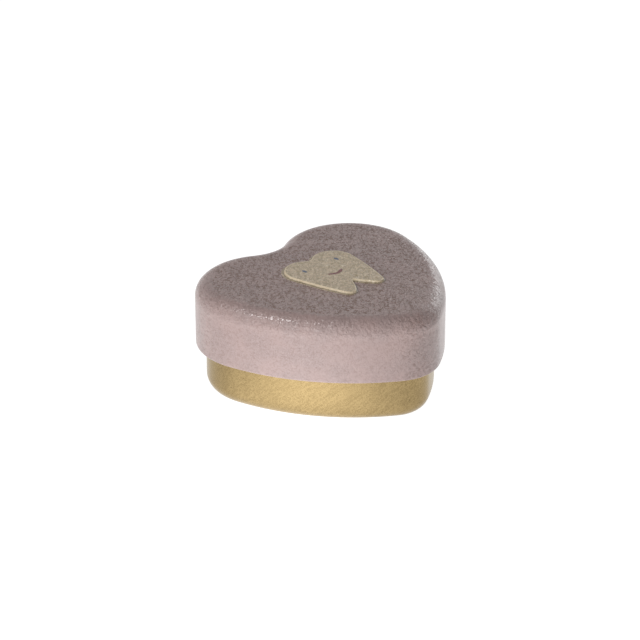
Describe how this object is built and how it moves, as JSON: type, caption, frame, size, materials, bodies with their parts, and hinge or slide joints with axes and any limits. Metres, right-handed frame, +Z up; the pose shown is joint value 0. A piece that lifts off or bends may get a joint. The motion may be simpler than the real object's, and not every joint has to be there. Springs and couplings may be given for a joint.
{
  "type": "trinket box",
  "caption": "Heart-shaped drawn tinplate trinket box: a base tray and a slip-over lift-off lid with an embossed tooth.",
  "frame": {"origin": "centre of the foot, on the surface that the tin stands on, below the middle of its bounding box", "axes": "+Z up, +X across the two lobes, and the heart's point towards -Y"},
  "size_m": [0.06, 0.0552, 0.0271],
  "materials": {
    "gold_lacquer": "satin",
    "mauve_lacquer": "satin"
  },
  "bodies": {
    "base": {"base_tray": "gold_lacquer"},
    "lid": {"lid": "mauve_lacquer"}
  },
  "joints": [
    {"name": "lid_lift", "type": "slide", "parent": "base", "child": "lid", "axis": [0, 0, 1], "range_m": [0, 0.03]}
  ]
}
